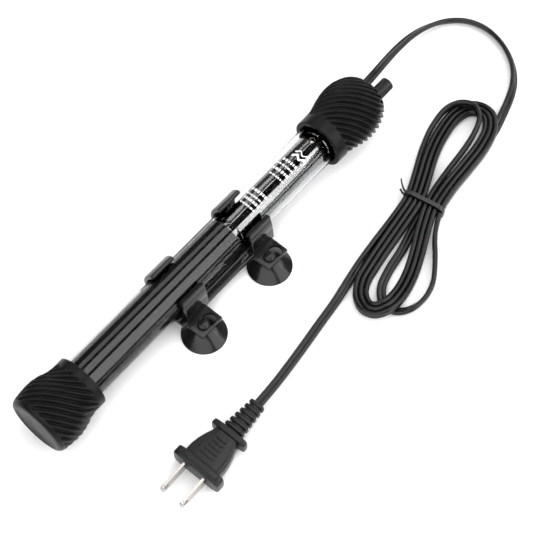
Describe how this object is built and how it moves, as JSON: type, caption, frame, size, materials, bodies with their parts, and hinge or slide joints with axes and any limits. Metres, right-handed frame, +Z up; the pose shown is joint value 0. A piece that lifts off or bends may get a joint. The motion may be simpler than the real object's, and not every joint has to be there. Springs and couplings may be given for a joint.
{
  "type": "submersible aquarium heater",
  "caption": "Glass tube heater for an aquarium with rubber end guards, a turning temperature knob, a clip-on suction-cup bracket and a tied power cord with its plug.",
  "frame": {"origin": "on the surface the heater lies on, under the middle of the heater without its cord", "axes": "+X along the glass tube towards the temperature knob, +Z up, the suction cups on the -Y side"},
  "size_m": [0.3507, 0.1192, 0.0368],
  "materials": {
    "rubber": "matt moulded rubber, ribbed",
    "bracket_plastic": "satin black moulded plastic",
    "knob_plastic": "satin black moulded plastic",
    "cup_rubber": "glossy soft black vinyl",
    "tube_glass": "clear polished glass",
    "black_sleeve": "gloss black",
    "can_chrome": "bright plated",
    "steel": "plain stamped steel",
    "resistance_wire": "dull drawn wire",
    "brass": "plain rolled strip",
    "copper_strip": "plain rolled strip",
    "ceramic": "unglazed ceramic, solid and opaque",
    "mica": "pressed mica board",
    "lamp_glass": "orange glow lamp",
    "silicone": "soft red-brown silicone",
    "wire_sleeve": "black insulated wire",
    "cord_vinyl": "satin black flexible vinyl",
    "tie_plastic": "paper and plastic over wire",
    "blade_nickel": "nickel plated"
  },
  "bodies": {
    "heater": {"glass_tube": "tube_glass", "bottom_guard": "rubber", "top_guard": "rubber", "bottom_cushion": "silicone", "inner_sleeve": "black_sleeve", "thermostat_can": "can_chrome", "can_tape": "black_sleeve", "seal_stopper": "silicone", "spindle_seal": "silicone", "cord_gland": "rubber", "thermostat_frame": "steel", "insulator_block": "ceramic", "leaf_post": "ceramic", "snap_magnet": "ceramic", "indicator_lamp": "lamp_glass", "lamp_resistor": "mica", "ceramic_core": "ceramic", "heating_coil": "resistance_wire", "core_rod": "steel", "lower_spacer": "mica", "upper_spacer": "mica", "thermal_fuse": "steel", "heat_shield": "steel", "element_lead": "wire_sleeve", "live_lead": "wire_sleeve", "neutral_lead": "wire_sleeve", "cord_arc": "cord_vinyl", "cord_tail": "cord_vinyl", "cord_hank": "cord_vinyl", "cord_tie": "tie_plastic", "plug_body": "cord_vinyl", "plug_blade_left": "blade_nickel", "plug_blade_right": "blade_nickel"},
    "knob": {"temperature_knob": "knob_plastic"},
    "screw": {"adjusting_screw": "brass"},
    "lever": {"set_lever": "steel"},
    "bimetal": {"bimetal_strip": "brass", "lower_contact": "steel"},
    "leaf": {"contact_leaf": "copper_strip", "upper_contact": "steel"},
    "bracket": {"bracket": "bracket_plastic"},
    "cup_lower": {"suction_cup_lower": "cup_rubber"},
    "cup_upper": {"suction_cup_upper": "cup_rubber"}
  },
  "joints": [
    {"name": "knob_turn", "type": "hinge", "parent": "heater", "child": "knob", "pos_m": [0.12625, 0.00385, 0.0184], "axis": [1, 0, 0], "range_deg": [-150, 150]},
    {"name": "screw_travel", "type": "slide", "parent": "knob", "child": "screw", "axis": [1, 0, 0], "range_m": [-0.00029, 0.00029]},
    {"name": "lever_tilt", "type": "hinge", "parent": "heater", "child": "lever", "pos_m": [0.06805, 0.00385, 0.0138], "axis": [0, 1, 0], "range_deg": [-3.7, 3.7]},
    {"name": "bimetal_bend", "type": "hinge", "parent": "heater", "child": "bimetal", "pos_m": [0.02605, 0.00815, 0.0168], "axis": [0, 1, 0], "range_deg": [0, 1.5], "stiffness_Nm_per_rad": 0.02},
    {"name": "leaf_lift", "type": "hinge", "parent": "heater", "child": "leaf", "pos_m": [0.02025, 0.00815, 0.0201], "axis": [0, 1, 0], "range_deg": [-2.5, 0], "stiffness_Nm_per_rad": 0.02},
    {"name": "bracket_slide", "type": "slide", "parent": "heater", "child": "bracket", "axis": [1, 0, 0], "range_m": [-0.05, 0.052]},
    {"name": "cup_lower_slide", "type": "slide", "parent": "bracket", "child": "cup_lower", "axis": [1, 0, 0], "range_m": [0, 0.0046]},
    {"name": "cup_upper_slide", "type": "slide", "parent": "bracket", "child": "cup_upper", "axis": [1, 0, 0], "range_m": [0, 0.0046]}
  ],
  "couplings": [
    {"joint": "knob_turn", "follows": "screw_travel", "rad_per_m": 8976.6},
    {"joint": "lever_tilt", "follows": "screw_travel", "rad_per_m": 217.24}
  ]
}
